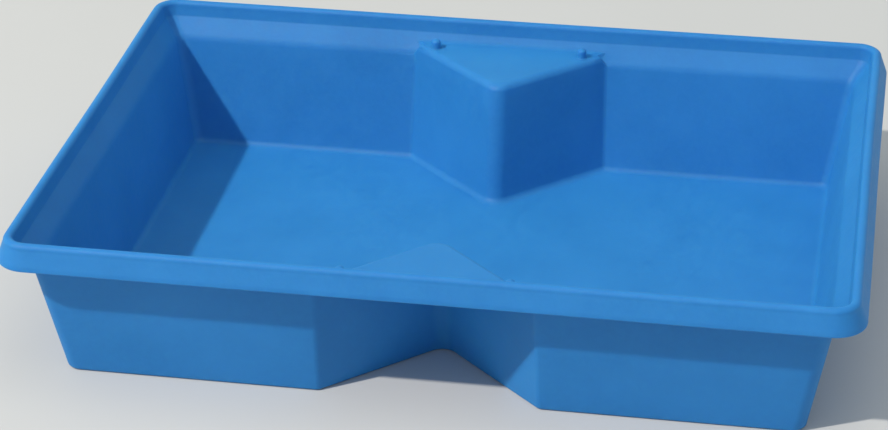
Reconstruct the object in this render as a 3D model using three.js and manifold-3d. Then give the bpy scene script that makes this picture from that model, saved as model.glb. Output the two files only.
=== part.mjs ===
// Mud pan: a one-piece moulded plastic pan for mixing and carrying joint compound.
// A flat floor, four tapered walls, a V-shaped indentation in the middle of each long wall,
// a sloping shoulder, a rounded rim with a turned-down skirt, and four small nesting pips.
// Frame: origin at the middle of the underside, +X along the length, +Y to the back, +Z up.
// Millimetres throughout.
import * as THREE from 'three';
import Module from 'manifold-3d';

// Rim: plan size at the outer edge of the rim top, and total height
const HALF_LENGTH = 380;
const HALF_WIDTH = 279;
const HEIGHT = 149.5;
const RIM_CORNER_RADIUS = 24;

// Section of the rim, as inset from the outer edge and drop below the rim top
const RIM_TOP_WIDTH = 9.4;
const SKIRT_FLARE = 6.9;
const SKIRT_DROP = 23.8;
const SKIRT_THICKNESS = 3.6;
const UPSTAND_FOOT = { inset: 11.4, drop: 15 };
const SHOULDER_END = { inset: 25, drop: 33.3 };
const SHELF_DROP = 23.3;
const ROOF_DROP = 8.6;

// Walls and floor
const WALL = 3.8;
const WALL_TAPER = 0.175;
const WALL_EDGE_RADIUS = 20;
const INNER_CORNER_RADIUS = 10;
const OUTER_CORNER_RADIUS = 13;
const FLOOR_FILLET = 7;
const BOTTOM_RADIUS = 4;

// V-shaped indentations, measured where their walls would meet the shelf as sharp lines
const VEE_HALF_MOUTH = 106.5;
const VEE_DEPTH = 100.6;
const VEE_TAPER = 0.136;
const VEE_EDGE_RADIUS = 8;
const VEE_MOUTH_RADIUS = 8;
const VEE_TIP_RADIUS = 15;

// Nesting pips on the shelves over the indentations
const PIP_X = 76;
const PIP_INSET = 33;
const PIP_RADIUS = 4.6;
const PIP_HEIGHT = 10;

// Steps per rounding
const CORNER_STEPS = 6;
const MOUTH_STEPS = 3;
const TIP_STEPS = 7;

const WALL_STEP = WALL * Math.hypot(1, WALL_TAPER);
const VEE_STEP = WALL * Math.hypot(1, VEE_TAPER);
const SHOULDER_SLOPE = (SHOULDER_END.drop - UPSTAND_FOOT.drop) / (SHOULDER_END.inset - UPSTAND_FOOT.inset);
const SHOULDER_ANGLE = Math.atan(SHOULDER_SLOPE);
const WALL_ANGLE = Math.atan2(1, WALL_TAPER);
const VEE_ANGLE = Math.atan2(1, VEE_TAPER);

// The shelves over the indentations, and their undersides, where each meets the shoulder
const SHELF = {
  inset: UPSTAND_FOOT.inset + (SHELF_DROP - UPSTAND_FOOT.drop) / SHOULDER_SLOPE,
  z: HEIGHT - SHELF_DROP,
};
const CEILING = {
  inset: SHELF.inset - WALL * Math.tan(SHOULDER_ANGLE / 2),
  z: SHELF.z - WALL,
};

// Upper end of the rounding between the shoulder and the walls, inside and outside
const EDGE_TANGENT = WALL_EDGE_RADIUS * Math.tan((WALL_ANGLE - SHOULDER_ANGLE) / 2);
const EDGE = {
  inset: SHOULDER_END.inset - EDGE_TANGENT * Math.cos(SHOULDER_ANGLE),
  z: HEIGHT - SHOULDER_END.drop + EDGE_TANGENT * Math.sin(SHOULDER_ANGLE),
  radius: WALL_EDGE_RADIUS,
};
const OUTER_EDGE = {
  inset: EDGE.inset - WALL * Math.sin(SHOULDER_ANGLE),
  z: EDGE.z - WALL * Math.cos(SHOULDER_ANGLE),
  radius: WALL_EDGE_RADIUS - WALL,
};

// Both ends of the rounded edge round a V shelf, as offsets from its sharp outline
const VEE_START = -VEE_EDGE_RADIUS * Math.tan(VEE_ANGLE / 2);
const VEE_END = {
  z: SHELF.z - VEE_EDGE_RADIUS * (1 - Math.cos(VEE_ANGLE)),
  offset: VEE_START + VEE_EDGE_RADIUS * Math.sin(VEE_ANGLE),
};

const mix = (p, q, s) => p + (q - p) * s;

// Inset of the inner walls, and offset of the inner V walls into the basin, at height z
const insetAt = (z) => SHOULDER_END.inset + (HEIGHT - SHOULDER_END.drop - z) * WALL_TAPER;
const veeAt = (z) => VEE_END.offset + (VEE_END.z - z) * VEE_TAPER;

// Points of a rounding of the given radius at the corner `at`, between its two neighbours
function rounding(at, before, after, radius, steps) {
  const p = new THREE.Vector2(...at);
  const toBefore = new THREE.Vector2(...before).sub(p).normalize();
  const toAfter = new THREE.Vector2(...after).sub(p).normalize();
  const half = Math.acos(THREE.MathUtils.clamp(toBefore.dot(toAfter), -1, 1)) / 2;
  const centre = toBefore.clone().add(toAfter).setLength(radius / Math.sin(half)).add(p);
  const start = p.clone().addScaledVector(toBefore, radius / Math.tan(half)).sub(centre);
  const turn = Math.PI - 2 * half;
  const side = Math.sign(toAfter.cross(toBefore));
  const points = [];
  for (let i = 0; i <= steps; i++) {
    const arm = start.clone().rotateAround(new THREE.Vector2(), side * turn * i / steps);
    points.push([centre.x + arm.x, centre.y + arm.y]);
  }
  return points;
}

// Plan outline, counter-clockwise from the front right corner. `share` runs from 0 on the
// straight walls to 1 on the V walls, through the roundings at the mouth of each V.
function outline(inset, vee, radius) {
  const a = HALF_LENGTH - inset;
  const b = HALF_WIDTH - inset;
  const slant = Math.hypot(VEE_HALF_MOUTH, VEE_DEPTH);
  const shelfY = HALF_WIDTH - SHELF.inset;
  const tip = shelfY - VEE_DEPTH - vee * slant / VEE_HALF_MOUTH;
  const mouth = (b - tip) * VEE_HALF_MOUTH / VEE_DEPTH;
  const flat = (share) => () => share;
  const corners = [
    [[a, -b], radius, CORNER_STEPS, flat(0)],
    [[a, b], radius, CORNER_STEPS, flat(0)],
    [[mouth, b], VEE_MOUTH_RADIUS, MOUTH_STEPS, (s) => s],
    [[0, tip], VEE_TIP_RADIUS, TIP_STEPS, flat(1)],
    [[-mouth, b], VEE_MOUTH_RADIUS, MOUTH_STEPS, (s) => 1 - s],
    [[-a, b], radius, CORNER_STEPS, flat(0)],
    [[-a, -b], radius, CORNER_STEPS, flat(0)],
    [[-mouth, -b], VEE_MOUTH_RADIUS, MOUTH_STEPS, (s) => s],
    [[0, -tip], VEE_TIP_RADIUS, TIP_STEPS, flat(1)],
    [[mouth, -b], VEE_MOUTH_RADIUS, MOUTH_STEPS, (s) => 1 - s],
  ];
  const points = [];
  corners.forEach(([at, r, steps, share], k) => {
    const before = corners.at(k - 1)[0];
    const after = corners[(k + 1) % corners.length][0];
    rounding(at, before, after, r, steps).forEach(([x, y], i) => {
      const isVee = r !== radius || Math.abs(at[0]) !== a;
      points.push({ x, y, share: share(i / steps), isVee });
    });
  });
  return points;
}

// A level ring without the indentations; its points match those of the rings that have them
const SHELF_OUTLINE = outline(SHELF.inset, VEE_START, INNER_CORNER_RADIUS);

function plainRing(inset, z, radius = Math.max(INNER_CORNER_RADIUS, RIM_CORNER_RADIUS - inset)) {
  const own = outline(inset, VEE_START, radius);
  return own.map((point, i) => {
    if (!point.isVee) return [point.x, point.y, z];
    return [SHELF_OUTLINE[i].x, Math.sign(point.y) * (HALF_WIDTH - inset), z];
  });
}

// A ring with the indentations; the V walls may sit at their own height
function veeRing(inset, z, vee, veeZ = z, radius = INNER_CORNER_RADIUS) {
  return outline(inset, vee, radius).map(({ x, y, share }) => [x, y, mix(z, veeZ, share)]);
}

// Rings from the level outline `top` down the roundings to the walls and to the V walls
function edgeRings(top, edge, veeRadius, cornerRadius) {
  const rings = [veeRing(top.inset, top.z, VEE_START, top.z, cornerRadius)];
  for (let i = 0; i <= 4; i++) {
    const wall = mix(SHOULDER_ANGLE, WALL_ANGLE, i / 4);
    const vee = VEE_ANGLE * (i + 1) / 5;
    rings.push(veeRing(
      edge.inset + edge.radius * (Math.sin(wall) - Math.sin(SHOULDER_ANGLE)),
      edge.z - edge.radius * (Math.cos(SHOULDER_ANGLE) - Math.cos(wall)),
      VEE_START + veeRadius * Math.sin(vee),
      top.z - veeRadius * (1 - Math.cos(vee)),
      cornerRadius,
    ));
  }
  return rings;
}

// Outside of the pan, from the edge of the underside up to the recess ceilings
function outerWallRings() {
  const rings = [];
  const tangent = BOTTOM_RADIUS * Math.tan(WALL_ANGLE / 2);
  for (let i = 0; i <= 3; i++) {
    const angle = WALL_ANGLE * i / 3;
    const back = tangent - BOTTOM_RADIUS * Math.sin(angle);
    const z = BOTTOM_RADIUS * (1 - Math.cos(angle));
    rings.push(veeRing(insetAt(0) - WALL_STEP + back, z, veeAt(0) - VEE_STEP + back, z, OUTER_CORNER_RADIUS));
  }
  rings.push(...edgeRings(CEILING, OUTER_EDGE, VEE_EDGE_RADIUS - WALL, OUTER_CORNER_RADIUS).reverse());
  rings.push(plainRing(CEILING.inset, CEILING.z, OUTER_CORNER_RADIUS));
  return rings;
}

// Underside of the shoulder, inside of the skirt, its lower edge and its outer face
function undersideRings() {
  const face = Math.atan2(SKIRT_FLARE, SKIRT_DROP - RIM_TOP_WIDTH / 2);
  const across = SKIRT_THICKNESS / Math.cos(face);
  const skirtInset = (drop) => -(drop - RIM_TOP_WIDTH / 2) * Math.tan(face);
  const behindUpstand = UPSTAND_FOOT.inset - WALL;
  const bend = UPSTAND_FOOT.drop + WALL * Math.tan(SHOULDER_ANGLE / 2);
  const lip = SKIRT_THICKNESS / 2;
  const rings = [
    plainRing(behindUpstand, HEIGHT - bend),
    plainRing(behindUpstand - 0.8, HEIGHT - ROOF_DROP),
    plainRing(skirtInset(ROOF_DROP) + across, HEIGHT - ROOF_DROP),
    plainRing(skirtInset(SKIRT_DROP - lip) + across, HEIGHT - SKIRT_DROP + lip),
  ];
  for (const part of [0.5, 1, 1.5]) {
    const inset = skirtInset(SKIRT_DROP - lip) + across * (1 + Math.cos(Math.PI * part / 2)) / 2;
    rings.push(plainRing(inset, HEIGHT - SKIRT_DROP + lip - lip * Math.sin(Math.PI * part / 2)));
  }
  rings.push(plainRing(skirtInset(SKIRT_DROP - lip), HEIGHT - SKIRT_DROP + lip));
  return rings;
}

// Half-round rim top, the short upstand inside it and the sloping shoulder
function rimRings() {
  const rings = [];
  const r = RIM_TOP_WIDTH / 2;
  for (let i = 0; i <= 8; i++) {
    const angle = Math.PI * i / 8;
    rings.push(plainRing(r - r * Math.cos(angle), HEIGHT - r + r * Math.sin(angle)));
  }
  const soft = 2;
  rings.push(plainRing(UPSTAND_FOOT.inset - 0.2, HEIGHT - UPSTAND_FOOT.drop + soft));
  rings.push(plainRing(UPSTAND_FOOT.inset + 0.4, HEIGHT - UPSTAND_FOOT.drop + 0.2));
  rings.push(plainRing(UPSTAND_FOOT.inset + soft * Math.cos(SHOULDER_ANGLE),
    HEIGHT - UPSTAND_FOOT.drop - soft * Math.sin(SHOULDER_ANGLE)));
  rings.push(plainRing(SHELF.inset, SHELF.z, INNER_CORNER_RADIUS));
  return rings;
}

// Shelves over the indentations, rounded edges, inner walls and the fillet down to the floor
function basinRings() {
  const rings = edgeRings(SHELF, EDGE, VEE_EDGE_RADIUS, INNER_CORNER_RADIUS);
  const tangent = FLOOR_FILLET * Math.tan(WALL_ANGLE / 2);
  for (let i = 0; i <= 4; i++) {
    const angle = WALL_ANGLE * (1 - i / 4);
    const back = FLOOR_FILLET * Math.sin(angle) - tangent;
    const z = WALL + FLOOR_FILLET * (1 - Math.cos(angle));
    rings.push(veeRing(insetAt(WALL) - back, z, veeAt(WALL) - back));
  }
  return rings;
}

// Closed surface through the rings, capped by the underside and by the floor
function shellGeometry() {
  const rings = [...outerWallRings(), ...undersideRings(), ...rimRings(), ...basinRings()];
  const positions = [];
  const known = new Map();
  const indexOf = (point) => {
    const key = point.map((value) => Math.round(value * 1e4)).join();
    if (!known.has(key)) {
      known.set(key, positions.length / 3);
      positions.push(...point);
    }
    return known.get(key);
  };
  const ids = rings.map((ring) => ring.map(indexOf));
  const faces = [];
  const face = (p, q, r) => {
    if (p !== q && q !== r && r !== p) faces.push(p, q, r);
  };
  for (let k = 0; k + 1 < ids.length; k++) {
    const low = ids[k];
    const high = ids[k + 1];
    for (let i = 0; i < low.length; i++) {
      const next = (i + 1) % low.length;
      face(low[i], low[next], high[next]);
      face(low[i], high[next], high[i]);
    }
  }
  const cap = (ring, ringIds, up) => {
    const contour = ring.map(([x, y]) => new THREE.Vector2(x, y));
    for (const [p, q, r] of THREE.ShapeUtils.triangulateShape(contour, [])) {
      if (up) face(ringIds[p], ringIds[q], ringIds[r]);
      else face(ringIds[p], ringIds[r], ringIds[q]);
    }
  };
  cap(rings[0], ids[0], false);
  cap(rings.at(-1), ids.at(-1), true);
  return { positions, faces };
}

// One pip: a short peg with a domed top, sunk a little way into the shelf
function pipGeometry(x, y) {
  const sink = 2;
  const straight = PIP_HEIGHT - PIP_RADIUS * 0.7;
  const profile = [[0, -sink], [PIP_RADIUS * 1.12, -sink], [PIP_RADIUS * 1.12, 0], [PIP_RADIUS, straight]];
  for (const lift of [0.4, 0.75]) {
    profile.push([PIP_RADIUS * Math.sqrt(1 - lift * lift), straight + PIP_RADIUS * 0.7 * lift]);
  }
  profile.push([0, PIP_HEIGHT]);
  const sides = 16;
  const positions = [];
  for (const [radius, z] of profile.slice(1, -1)) {
    for (let i = 0; i < sides; i++) {
      const angle = 2 * Math.PI * i / sides;
      positions.push(x + radius * Math.cos(angle), y + radius * Math.sin(angle), SHELF.z + z);
    }
  }
  const rows = profile.length - 2;
  const low = positions.length / 3;
  positions.push(x, y, SHELF.z - sink);
  positions.push(x, y, SHELF.z + PIP_HEIGHT);
  const faces = [];
  for (let i = 0; i < sides; i++) {
    const next = (i + 1) % sides;
    for (let row = 0; row + 1 < rows; row++) {
      const p = row * sides;
      const q = p + sides;
      faces.push(p + i, p + next, q + next, p + i, q + next, q + i);
    }
    faces.push(low, next, i);
    const last = (rows - 1) * sides;
    faces.push(low + 1, last + i, last + next);
  }
  return { positions, faces };
}

const wasm = await Module();
wasm.setup();

function toManifold({ positions, faces }) {
  const mesh = new wasm.Mesh({
    numProp: 3,
    vertProperties: new Float32Array(positions),
    triVerts: new Uint32Array(faces),
  });
  return new wasm.Manifold(mesh);
}

function toGeometry(manifold) {
  const mesh = manifold.getMesh();
  const geometry = new THREE.BufferGeometry();
  geometry.setAttribute('position', new THREE.BufferAttribute(new Float32Array(mesh.vertProperties), 3));
  geometry.setIndex(new THREE.BufferAttribute(new Uint32Array(mesh.triVerts), 1));
  geometry.computeVertexNormals();
  return geometry;
}

// The whole moulding: shell with its four pips fused on
function panGeometry() {
  let pan = toManifold(shellGeometry());
  for (const x of [-PIP_X, PIP_X]) {
    for (const y of [-(HALF_WIDTH - PIP_INSET), HALF_WIDTH - PIP_INSET]) {
      pan = pan.add(toManifold(pipGeometry(x, y)));
    }
  }
  return toGeometry(pan);
}

const bluePolyethylene = new THREE.MeshStandardMaterial({ color: 0x1f6ec0, roughness: 0.42, metalness: 0 });

const pan = new THREE.Mesh(panGeometry(), bluePolyethylene);
pan.name = 'pan_shell';

const group = new THREE.Group();
group.name = 'mud_pan';
group.add(pan);

export default group;
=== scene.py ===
# Blue polyethylene mud pan on a plain pale floor, lit by a key light from the front left.
# The pan is one moulding: a fine surface lofted from level rings, as the CAD model's is,
# with finer roundings, moulded-in unevenness and a procedural plastic material.
import math

import bpy
import numpy as np
from mathutils import Matrix, Vector


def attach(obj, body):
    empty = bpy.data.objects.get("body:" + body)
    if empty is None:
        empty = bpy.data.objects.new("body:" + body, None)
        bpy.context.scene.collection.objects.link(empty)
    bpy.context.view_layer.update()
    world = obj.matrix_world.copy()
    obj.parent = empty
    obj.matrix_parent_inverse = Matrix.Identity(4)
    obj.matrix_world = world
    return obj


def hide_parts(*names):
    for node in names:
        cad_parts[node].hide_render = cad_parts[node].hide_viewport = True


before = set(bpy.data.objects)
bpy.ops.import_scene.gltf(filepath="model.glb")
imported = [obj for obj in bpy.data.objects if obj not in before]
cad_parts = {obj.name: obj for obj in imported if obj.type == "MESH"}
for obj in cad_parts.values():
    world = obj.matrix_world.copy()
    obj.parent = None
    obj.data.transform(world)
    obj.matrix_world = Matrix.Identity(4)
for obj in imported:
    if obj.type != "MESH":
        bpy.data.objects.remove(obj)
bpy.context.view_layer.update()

MM = 0.001

# Rim: plan size at the outer edge of the rim top, and total height, in mm
HALF_LENGTH = 380.0
HALF_WIDTH = 279.0
HEIGHT = 149.5
RIM_CORNER_RADIUS = 24.0

# Section of the rim, as inset from the outer edge and drop below the rim top
RIM_TOP_WIDTH = 9.4
SKIRT_FLARE = 6.9
SKIRT_DROP = 23.8
SKIRT_THICKNESS = 3.6
SKIRT_TOP_GAP = 1.5
UPSTAND_INSET = 11.4
UPSTAND_DROP = 15.0
UPSTAND_LEAN = 0.8
UPSTAND_FOOT_RADIUS = 4.42
SHOULDER_INSET = 25.0
SHOULDER_DROP = 33.3
SHELF_DROP = 23.3
SHELF_FOOT_RADIUS = 9.0
ROOF_DROP = 8.6

# Walls and floor
WALL = 3.8
WALL_TAPER = 0.175
WALL_EDGE_RADIUS = 20.0
INNER_CORNER_RADIUS = 10.0
OUTER_CORNER_RADIUS = 13.0
FLOOR_FILLET = 7.0
BOTTOM_RADIUS = 4.0

# V-shaped indentations, measured where their walls would meet the shelf as sharp lines
VEE_HALF_MOUTH = 106.5
VEE_DEPTH = 100.6
VEE_TAPER = 0.136
VEE_EDGE_RADIUS = 8.0
VEE_MOUTH_RADIUS = 8.0
VEE_TIP_RADIUS = 15.0

# Nesting pips on the shelves
PIP_X = 76.0
PIP_INSET = 33.0
PIP_RADIUS = 4.6
PIP_HEIGHT = 10.0
PIP_FLARE = 1.2
PIP_SINK = 1.5
PIP_DOME = 0.8 * PIP_RADIUS

# Bow of the long sides and of the ends at mid-length, and depth of the waves, at rim height
SIDE_BOW = 0.9
END_BOW = 0.6
WAVE = 0.35

# Steps per rounding in plan, and along the straight stretches between them
CORNER_STEPS = 10
MOUTH_STEPS = 8
TIP_STEPS = 16
END_RUN = 20
SIDE_RUN = 12
VEE_RUN = 6

# Steps down the section
EDGE_STEPS = 10
WALL_STEPS = 10
FILLET_STEPS = 10
OUTER_WALL_STEPS = 9
BOTTOM_STEPS = 8
LIP_STEPS = 8
SKIRT_STEPS = 4
RIM_STEPS = 16
FOOT_STEPS = 6

WALL_STEP = WALL * math.hypot(1, WALL_TAPER)
VEE_STEP = WALL * math.hypot(1, VEE_TAPER)
SHOULDER_SLOPE = (SHOULDER_DROP - UPSTAND_DROP) / (SHOULDER_INSET - UPSTAND_INSET)
SHOULDER_ANGLE = math.atan(SHOULDER_SLOPE)
WALL_ANGLE = math.atan2(1, WALL_TAPER)
VEE_ANGLE = math.atan2(1, VEE_TAPER)

# The shelves over the indentations, and their undersides, where each meets the shoulder
SHELF_Z = HEIGHT - SHELF_DROP
SHELF_INSET = UPSTAND_INSET + (SHELF_DROP - UPSTAND_DROP) / SHOULDER_SLOPE
CEILING_Z = SHELF_Z - WALL
CEILING_INSET = SHELF_INSET - WALL * math.tan(SHOULDER_ANGLE / 2)

# Upper end of the rounding between the shoulder and the walls
EDGE_TANGENT = WALL_EDGE_RADIUS * math.tan((WALL_ANGLE - SHOULDER_ANGLE) / 2)
EDGE_INSET = SHOULDER_INSET - EDGE_TANGENT * math.cos(SHOULDER_ANGLE)
EDGE_Z = HEIGHT - SHOULDER_DROP + EDGE_TANGENT * math.sin(SHOULDER_ANGLE)

# Both ends of the rounded edge round a V shelf, as offsets from its sharp outline
VEE_START = -VEE_EDGE_RADIUS * math.tan(VEE_ANGLE / 2)
VEE_END_Z = SHELF_Z - VEE_EDGE_RADIUS * (1 - math.cos(VEE_ANGLE))
VEE_END_OFFSET = VEE_START + VEE_EDGE_RADIUS * math.sin(VEE_ANGLE)


# ---------------------------------------------------------------- camera

CAMERA_AIM = (-0.0242, -0.0084, 0.0675)
CAMERA_AZIMUTH = 10.0
CAMERA_ELEVATION = 27.89
CAMERA_ROLL = -0.37
CAMERA_DISTANCE = 2.644
CAMERA_LENS = 111.2


def make_camera():
    azimuth = math.radians(CAMERA_AZIMUTH)
    elevation = math.radians(CAMERA_ELEVATION)
    flat = math.cos(elevation)
    back = Vector((math.sin(azimuth) * flat, -math.cos(azimuth) * flat, math.sin(elevation)))
    data = bpy.data.cameras.new("camera")
    data.lens = CAMERA_LENS
    data.sensor_width = 36
    camera = bpy.data.objects.new("camera", data)
    turn = (-back).to_track_quat("-Z", "Y").to_matrix() @ Matrix.Rotation(math.radians(CAMERA_ROLL), 3, "Z")
    camera.matrix_world = Matrix.Translation(Vector(CAMERA_AIM) + back * CAMERA_DISTANCE) @ turn.to_4x4()
    bpy.context.collection.objects.link(camera)
    bpy.context.scene.camera = camera


# ---------------------------------------------------------------- plan outlines

def mix(p, q, s):
    return p + (q - p) * s


def inset_at(z):
    """Inset of the inner walls at height z."""
    return SHOULDER_INSET + (HEIGHT - SHOULDER_DROP - z) * WALL_TAPER


def vee_at(z):
    """Offset of the inner V walls into the basin at height z."""
    return VEE_END_OFFSET + (VEE_END_Z - z) * VEE_TAPER


def rounding(at, before, after, radius, steps):
    """Points of a rounding of the corner `at` between its two neighbours."""
    p, b, a = Vector(at), Vector(before), Vector(after)
    to_before = (b - p).normalized()
    to_after = (a - p).normalized()
    half = to_before.angle(to_after) / 2
    centre = p + (to_before + to_after).normalized() * (radius / math.sin(half))
    start = p + to_before * (radius / math.tan(half)) - centre
    turn = math.pi - 2 * half
    side = math.copysign(1, to_after.x * to_before.y - to_after.y * to_before.x)
    points = []
    for i in range(steps + 1):
        arm = Matrix.Rotation(side * turn * i / steps, 2) @ start
        points.append((centre.x + arm.x, centre.y + arm.y))
    return points


def outline(inset, vee, radius):
    """Plan outline, counter-clockwise: x, y, share of the V, and whether the point belongs to a V."""
    a = HALF_LENGTH - inset
    b = HALF_WIDTH - inset
    slant = math.hypot(VEE_HALF_MOUTH, VEE_DEPTH)
    tip = HALF_WIDTH - SHELF_INSET - VEE_DEPTH - vee * slant / VEE_HALF_MOUTH
    mouth = (b - tip) * VEE_HALF_MOUTH / VEE_DEPTH
    plain, opening, closing, full = (0, 0), (0, 1), (1, 0), (1, 1)
    corners = [
        ((a, -b), radius, CORNER_STEPS, plain, END_RUN),
        ((a, b), radius, CORNER_STEPS, plain, SIDE_RUN),
        ((mouth, b), VEE_MOUTH_RADIUS, MOUTH_STEPS, opening, VEE_RUN),
        ((0, tip), VEE_TIP_RADIUS, TIP_STEPS, full, VEE_RUN),
        ((-mouth, b), VEE_MOUTH_RADIUS, MOUTH_STEPS, closing, SIDE_RUN),
        ((-a, b), radius, CORNER_STEPS, plain, END_RUN),
        ((-a, -b), radius, CORNER_STEPS, plain, SIDE_RUN),
        ((-mouth, -b), VEE_MOUTH_RADIUS, MOUTH_STEPS, opening, VEE_RUN),
        ((0, -tip), VEE_TIP_RADIUS, TIP_STEPS, full, VEE_RUN),
        ((mouth, -b), VEE_MOUTH_RADIUS, MOUTH_STEPS, closing, SIDE_RUN),
    ]
    arcs = []
    for k, (at, r, steps, share, _) in enumerate(corners):
        before = corners[k - 1][0]
        after = corners[(k + 1) % len(corners)][0]
        arc = rounding(at, before, after, r, steps)
        arcs.append([(x, y, mix(*share, i / steps), share != plain) for i, (x, y) in enumerate(arc)])
    points = []
    for k, (arc, corner) in enumerate(zip(arcs, corners)):
        points.extend(arc)
        end = arc[-1]
        start = arcs[(k + 1) % len(arcs)][0]
        run = corner[-1]
        in_vee = end[2] == 1 and start[2] == 1
        for i in range(1, run):
            x = mix(end[0], start[0], i / run)
            y = mix(end[1], start[1], i / run)
            points.append((x, y, float(in_vee), in_vee))
    return points


SHELF_OUTLINE = outline(SHELF_INSET, VEE_START, INNER_CORNER_RADIUS)


def plain_ring(inset, z, radius=None):
    """A level ring that runs straight past the indentations."""
    if radius is None:
        radius = max(INNER_CORNER_RADIUS, RIM_CORNER_RADIUS - inset)
    ring = []
    for (x, y, _, in_vee), shelf in zip(outline(inset, VEE_START, radius), SHELF_OUTLINE):
        if in_vee:
            x, y = shelf[0], math.copysign(HALF_WIDTH - inset, y)
        ring.append((x, y, z))
    return ring


def vee_ring(inset, z, vee, vee_z=None, radius=INNER_CORNER_RADIUS):
    """A ring with the indentations; the V walls may sit at their own height."""
    if vee_z is None:
        vee_z = z
    return [(x, y, mix(z, vee_z, share)) for x, y, share, _ in outline(inset, vee, radius)]


def shelf_foot_rings():
    """Soft corner where the shoulder runs out onto the shelves; it fades out at the mouth of each V."""
    foot = plain_ring(SHELF_INSET, SHELF_Z, INNER_CORNER_RADIUS)
    tangent = SHELF_FOOT_RADIUS * math.tan(SHOULDER_ANGLE / 2)
    rings = []
    for i in range(FOOT_STEPS + 1):
        angle = SHOULDER_ANGLE * (1 - i / FOOT_STEPS)
        run = tangent - SHELF_FOOT_RADIUS * math.sin(angle)
        rise = SHELF_FOOT_RADIUS * (1 - math.cos(angle))
        ring = []
        for (x, y, z), (_, shelf_y, _, in_vee) in zip(foot, SHELF_OUTLINE):
            room = abs(y) - abs(shelf_y)
            scale = min(1, 0.9 * room / tangent) if in_vee else 0
            ring.append((x, y - run * scale * math.copysign(1, y), z + rise * scale))
        rings.append(ring)
    return rings


# ---------------------------------------------------------------- section of the pan

def edge_rings(top, edge, radius, vee_radius, corner_radius):
    """Rings from the level outline `top` down the roundings to the walls and to the V walls."""
    rings = [vee_ring(*top, VEE_START, top[1], corner_radius)]
    for i in range(EDGE_STEPS + 1):
        wall = mix(SHOULDER_ANGLE, WALL_ANGLE, i / EDGE_STEPS)
        vee = VEE_ANGLE * (i + 1) / (EDGE_STEPS + 1)
        rings.append(vee_ring(
            edge[0] + radius * (math.sin(wall) - math.sin(SHOULDER_ANGLE)),
            edge[1] - radius * (math.cos(SHOULDER_ANGLE) - math.cos(wall)),
            VEE_START + vee_radius * math.sin(vee),
            top[1] - vee_radius * (1 - math.cos(vee)),
            corner_radius,
        ))
    return rings


def outer_wall_rings():
    """Outside of the pan, from the edge of the underside up to the ceilings of the recesses."""
    rings = []
    tangent = BOTTOM_RADIUS * math.tan(WALL_ANGLE / 2)
    for i in range(BOTTOM_STEPS + 1):
        angle = WALL_ANGLE * i / BOTTOM_STEPS
        back = tangent - BOTTOM_RADIUS * math.sin(angle)
        z = BOTTOM_RADIUS * (1 - math.cos(angle))
        rings.append(vee_ring(inset_at(0) - WALL_STEP + back, z, vee_at(0) - VEE_STEP + back, z,
                              OUTER_CORNER_RADIUS))
    under = (EDGE_INSET - WALL * math.sin(SHOULDER_ANGLE), EDGE_Z - WALL * math.cos(SHOULDER_ANGLE))
    edge = edge_rings((CEILING_INSET, CEILING_Z), under, WALL_EDGE_RADIUS - WALL, VEE_EDGE_RADIUS - WALL,
                      OUTER_CORNER_RADIUS)
    low = BOTTOM_RADIUS * (1 - math.cos(WALL_ANGLE))
    wall_end = edge[-1][0][2]
    vee_end = CEILING_Z - (VEE_EDGE_RADIUS - WALL) * (1 - math.cos(VEE_ANGLE))
    for i in range(1, OUTER_WALL_STEPS):
        z = mix(low, wall_end, i / OUTER_WALL_STEPS)
        vee_z = mix(low, vee_end, i / OUTER_WALL_STEPS)
        rings.append(vee_ring(inset_at(z) - WALL_STEP, z, vee_at(vee_z) - VEE_STEP, vee_z,
                              OUTER_CORNER_RADIUS))
    rings.extend(reversed(edge))
    rings.append(plain_ring(CEILING_INSET, CEILING_Z, OUTER_CORNER_RADIUS))
    return rings


def underside_rings():
    """Underside of the shoulder, inside of the skirt, its lower edge and its outer face."""
    face = math.atan2(SKIRT_FLARE, SKIRT_DROP - RIM_TOP_WIDTH / 2)
    across = SKIRT_THICKNESS / math.cos(face)
    lip = SKIRT_THICKNESS / 2

    def skirt_inset(drop):
        return -(drop - RIM_TOP_WIDTH / 2) * math.tan(face)

    behind = UPSTAND_INSET - WALL
    bend = UPSTAND_DROP + WALL * math.tan(SHOULDER_ANGLE / 2)
    rings = [
        plain_ring(behind, HEIGHT - bend),
        plain_ring(behind - UPSTAND_LEAN, HEIGHT - ROOF_DROP),
        plain_ring(skirt_inset(ROOF_DROP) + across, HEIGHT - ROOF_DROP),
        plain_ring(skirt_inset(SKIRT_DROP - lip) + across, HEIGHT - SKIRT_DROP + lip),
    ]
    for i in range(1, LIP_STEPS):
        angle = math.pi * i / LIP_STEPS
        inset = skirt_inset(SKIRT_DROP - lip) + across * (1 + math.cos(angle)) / 2
        rings.append(plain_ring(inset, HEIGHT - SKIRT_DROP + lip - lip * math.sin(angle)))
    below_rim = RIM_TOP_WIDTH / 2 + SKIRT_TOP_GAP
    for i in range(SKIRT_STEPS + 1):
        drop = mix(SKIRT_DROP - lip, below_rim, i / SKIRT_STEPS)
        rings.append(plain_ring(skirt_inset(drop), HEIGHT - drop))
    return rings


def rim_rings():
    """Half-round rim top, the short upstand inside it and the sloping shoulder."""
    rings = []
    r = RIM_TOP_WIDTH / 2
    for i in range(RIM_STEPS + 1):
        angle = math.pi * i / RIM_STEPS
        rings.append(plain_ring(r - r * math.cos(angle), HEIGHT - r + r * math.sin(angle)))
    top = (RIM_TOP_WIDTH, r)
    foot = (UPSTAND_INSET, UPSTAND_DROP)
    end = (SHOULDER_INSET, SHOULDER_DROP)
    bend = rounding(foot, top, end, UPSTAND_FOOT_RADIUS, FOOT_STEPS)
    halfway = (mix(top[0], bend[0][0], 0.5), mix(top[1], bend[0][1], 0.5))
    for inset, drop in [halfway] + bend:
        rings.append(plain_ring(inset, HEIGHT - drop))
    return rings


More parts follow.
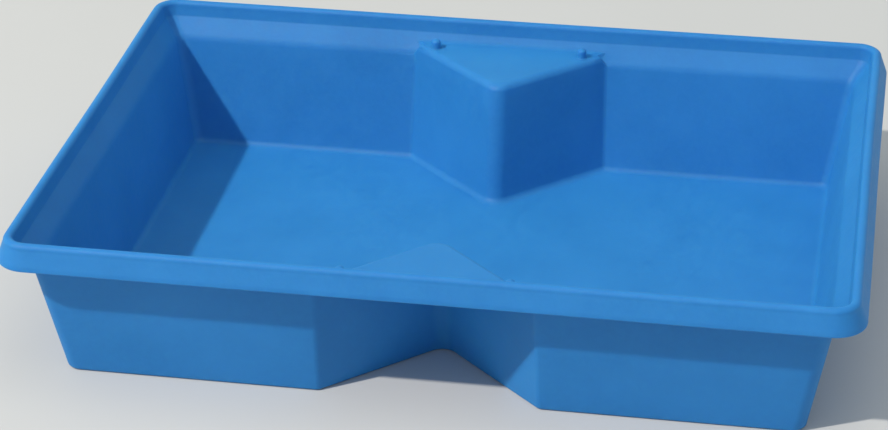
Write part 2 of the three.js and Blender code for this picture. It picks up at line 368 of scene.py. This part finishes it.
def basin_rings():
    """Shelves, rounded edges, inner walls and the fillet down to the floor."""
    rings = edge_rings((SHELF_INSET, SHELF_Z), (EDGE_INSET, EDGE_Z), WALL_EDGE_RADIUS, VEE_EDGE_RADIUS,
                       INNER_CORNER_RADIUS)
    edge_end = rings[-1][0][2]
    tangent = FLOOR_FILLET * math.tan(WALL_ANGLE / 2)
    high = WALL + FLOOR_FILLET * (1 - math.cos(WALL_ANGLE))
    for i in range(1, WALL_STEPS):
        z = mix(edge_end, high, i / WALL_STEPS)
        vee_z = mix(VEE_END_Z, high, i / WALL_STEPS)
        rings.append(vee_ring(inset_at(z), z, vee_at(vee_z), vee_z))
    for i in range(FILLET_STEPS + 1):
        angle = WALL_ANGLE * (1 - i / FILLET_STEPS)
        back = FLOOR_FILLET * math.sin(angle) - tangent
        z = WALL + FLOOR_FILLET * (1 - math.cos(angle))
        rings.append(vee_ring(inset_at(WALL) - back, z, vee_at(WALL) - back))
    return rings


def loft(rings):
    """Closed surface through the rings, capped at both ends; points that coincide become one."""
    known = {}
    points = []

    def index_of(point):
        key = tuple(round(value * 1e4) for value in point)
        if key not in known:
            known[key] = len(points)
            points.append(point)
        return known[key]

    ids = [[index_of(point) for point in ring] for ring in rings]
    faces = []
    for low, high in zip(ids, ids[1:]):
        for i in range(len(low)):
            j = (i + 1) % len(low)
            face = []
            for corner in (low[i], low[j], high[j], high[i]):
                if corner not in face:
                    face.append(corner)
            if len(face) > 2:
                faces.append(face)
    faces.append(list(reversed(ids[0])))
    faces.append(ids[-1])
    return np.array(points), faces


def mesh_object(name, points, faces):
    mesh = bpy.data.meshes.new(name)
    mesh.from_pydata([tuple(p) for p in points], [], faces)
    mesh.validate()
    mesh.shade_smooth()
    piece = bpy.data.objects.new(name, mesh)
    bpy.context.collection.objects.link(piece)
    return piece


# ---------------------------------------------------------------- the pan

def make_pip(x, y):
    """A short peg with a domed top and a small flare at its foot, sunk a little into the shelf."""
    foot = PIP_RADIUS + PIP_FLARE
    flare_steps = 5
    dome_steps = 8
    sides = 32
    profile = [(foot, -PIP_SINK), (foot, 0.0)]
    for i in range(1, flare_steps + 1):
        angle = math.pi / 2 * i / flare_steps
        profile.append((foot - PIP_FLARE * math.sin(angle), PIP_FLARE * (1 - math.cos(angle))))
    for i in range(dome_steps):
        angle = math.pi / 2 * i / dome_steps
        profile.append((PIP_RADIUS * math.cos(angle), PIP_HEIGHT - PIP_DOME * (1 - math.sin(angle))))
    points = []
    for radius, z in profile:
        for i in range(sides):
            angle = 2 * math.pi * i / sides
            points.append((x + radius * math.cos(angle), y + radius * math.sin(angle), SHELF_Z + z))
    points.append((x, y, SHELF_Z + PIP_HEIGHT))
    faces = [list(reversed(range(sides)))]
    for row in range(len(profile) - 1):
        for i in range(sides):
            j = (i + 1) % sides
            p, q = row * sides, (row + 1) * sides
            faces.append([p + i, p + j, q + j, q + i])
    last = (len(profile) - 1) * sides
    for i in range(sides):
        faces.append([last + i, last + (i + 1) % sides, len(points) - 1])
    return mesh_object("pip", np.array(points) * MM, faces)


def uneven(points):
    """The slight bow and waviness of a large thin moulding: only inward, growing towards the rim."""
    x, y, z = points.T
    along = x / HALF_LENGTH
    across = y / HALF_WIDTH
    height = z / HEIGHT

    def inward(bow, place, wave):
        """Movement that is largest half way along a side, where `place` is 0."""
        return height * (bow * np.cos(place * math.pi / 2) ** 2 + WAVE * (1 + np.sin(wave)) / 2)

    def near_edge(place):
        """0 in the middle of the pan, growing to full size, with the side's sign, at its edge."""
        return np.sign(place) * np.clip(abs(place) * 1.6 - 0.6, 0, 1)

    moved = points.copy()
    moved[:, 0] -= inward(END_BOW, across, y / 53 + 0.4) * near_edge(along)
    moved[:, 1] -= inward(SIDE_BOW, along, x / 61 + 1.3) * near_edge(across)
    return moved


def fuse(pan, pip):
    """Join the pip onto the pan as one closed surface."""
    join = pan.modifiers.new("join", "BOOLEAN")
    join.operation = "UNION"
    join.solver = "EXACT"
    join.object = pip
    bpy.context.view_layer.update()
    fused = bpy.data.meshes.new_from_object(pan.evaluated_get(bpy.context.evaluated_depsgraph_get()))
    pan.modifiers.clear()
    pan.data = fused
    bpy.data.objects.remove(pip)


def make_pan(material):
    rings = outer_wall_rings() + underside_rings() + rim_rings() + shelf_foot_rings() + basin_rings()
    points, faces = loft(rings)
    pan = mesh_object("pan", uneven(points) * MM, faces)
    for x in (-PIP_X, PIP_X):
        for y in (-(HALF_WIDTH - PIP_INSET), HALF_WIDTH - PIP_INSET):
            fuse(pan, make_pip(x, y))
    pan.data.materials.clear()
    pan.data.materials.append(material)
    pan.data.set_sharp_from_angle(angle=math.radians(50))
    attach(pan, "root")
    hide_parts("pan_shell")
    return pan


# ---------------------------------------------------------------- materials

PIGMENT_DARK = (0.018, 0.190, 0.500, 1)
PIGMENT_LIGHT = (0.024, 0.215, 0.545, 1)
PIGMENT_FLECK = (0.040, 0.260, 0.600, 1)
FLOOR_DARK = (0.56, 0.56, 0.56, 1)
FLOOR_LIGHT = (0.60, 0.60, 0.60, 1)


def new_material(name):
    material = bpy.data.materials.new(name)
    material.use_nodes = True
    nodes = material.node_tree.nodes
    return material, nodes, material.node_tree.links, nodes["Principled BSDF"]


def noise(nodes, links, where, scale, detail=4.0, rough=0.5):
    node = nodes.new("ShaderNodeTexNoise")
    node.inputs["Scale"].default_value = scale
    node.inputs["Detail"].default_value = detail
    node.inputs["Roughness"].default_value = rough
    links.new(where, node.inputs["Vector"])
    return node.outputs["Fac"]


def spread(nodes, links, value, low, high, to_low, to_high):
    node = nodes.new("ShaderNodeMapRange")
    for name, number in (("From Min", low), ("From Max", high), ("To Min", to_low), ("To Max", to_high)):
        node.inputs[name].default_value = number
    links.new(value, node.inputs["Value"])
    return node.outputs["Result"]


def blend_colour(nodes, links, share, first, second):
    node = nodes.new("ShaderNodeMix")
    node.data_type = "RGBA"
    links.new(share, node.inputs["Factor"])
    for socket, value in ((node.inputs[6], first), (node.inputs[7], second)):
        if isinstance(value, tuple):
            socket.default_value = value
        else:
            links.new(value, socket)
    return node.outputs[2]


def bump(nodes, links, height, strength, distance, under=None):
    node = nodes.new("ShaderNodeBump")
    node.inputs["Strength"].default_value = strength
    node.inputs["Distance"].default_value = distance
    links.new(height, node.inputs["Height"])
    if under is not None:
        links.new(under, node.inputs["Normal"])
    return node.outputs["Normal"]


def plastic_material():
    """Semi-gloss blue polyethylene: clouded and flecked pigment, uneven gloss and a moulded grain."""
    material, nodes, links, shader = new_material("blue_polyethylene")
    where = nodes.new("ShaderNodeTexCoord").outputs["Object"]
    cloud = noise(nodes, links, where, 14, 3)
    mottle = noise(nodes, links, where, 150, 3, 0.6)
    grain = noise(nodes, links, where, 900, 2, 0.6)
    pigment = blend_colour(nodes, links, spread(nodes, links, cloud, 0.3, 0.7, 0, 1),
                           PIGMENT_DARK, PIGMENT_LIGHT)
    colour = blend_colour(nodes, links, spread(nodes, links, mottle, 0.35, 0.75, 0, 0.25),
                          pigment, PIGMENT_FLECK)
    links.new(colour, shader.inputs["Base Color"])
    links.new(spread(nodes, links, mottle, 0.3, 0.7, 0.50, 0.62), shader.inputs["Roughness"])
    shader.inputs["Specular IOR Level"].default_value = 0.25
    shader.inputs["Subsurface Weight"].default_value = 0.7
    shader.inputs["Subsurface Radius"].default_value = (0.3, 0.7, 1.0)
    shader.inputs["Subsurface Scale"].default_value = 0.006
    coarse = bump(nodes, links, mottle, 0.25, 0.0006)
    fine = bump(nodes, links, grain, 0.15, 0.0002, coarse)
    links.new(fine, shader.inputs["Normal"])
    return material


def floor_material():
    material, nodes, links, shader = new_material("pale_floor")
    where = nodes.new("ShaderNodeTexCoord").outputs["Object"]
    soft = noise(nodes, links, where, 3, 3)
    colour = blend_colour(nodes, links, soft, FLOOR_DARK, FLOOR_LIGHT)
    links.new(colour, shader.inputs["Base Color"])
    shader.inputs["Roughness"].default_value = 0.8
    return material


# ---------------------------------------------------------------- setting

KEY_PLACE = (-4.52, -4.33, 6.49)
KEY_COLOUR = (1.0, 0.95, 0.86)
KEY_POWER = 700
KEY_SIZE = 0.27
FILL_PLACE = (0.6, -0.6, 3.2)
FILL_POWER = 12
FILL_SIZE = 2.6
SKY_COLOUR = (0.88, 0.97, 1.0, 1)
SKY_STRENGTH = 0.55
FLOOR_REACH = 6.0


def area_light(name, place, aim, size, power, colour=(1, 1, 1)):
    data = bpy.data.lights.new(name, "AREA")
    data.shape = "DISK"
    data.size = size
    data.energy = power
    data.color = colour
    light = bpy.data.objects.new(name, data)
    light.location = place
    light.rotation_mode = "QUATERNION"
    light.rotation_quaternion = (Vector(aim) - Vector(place)).to_track_quat("-Z", "Y")
    bpy.context.collection.objects.link(light)


def make_setting():
    corners = [(x * FLOOR_REACH, y * FLOOR_REACH, 0) for x, y in ((-1, -1), (1, -1), (1, 1), (-1, 1))]
    floor = mesh_object("floor", corners, [[0, 1, 2, 3]])
    floor.data.materials.append(floor_material())
    area_light("key", KEY_PLACE, (0, 0, 0.08), KEY_SIZE, KEY_POWER, KEY_COLOUR)
    area_light("fill", FILL_PLACE, (0, 0, 0), FILL_SIZE, FILL_POWER)
    world = bpy.data.worlds.new("world")
    world.use_nodes = True
    background = world.node_tree.nodes["Background"]
    background.inputs["Color"].default_value = SKY_COLOUR
    background.inputs["Strength"].default_value = SKY_STRENGTH
    bpy.context.scene.world = world
    bpy.context.scene.view_settings.view_transform = "Standard"


make_camera()
make_setting()
make_pan(plastic_material())
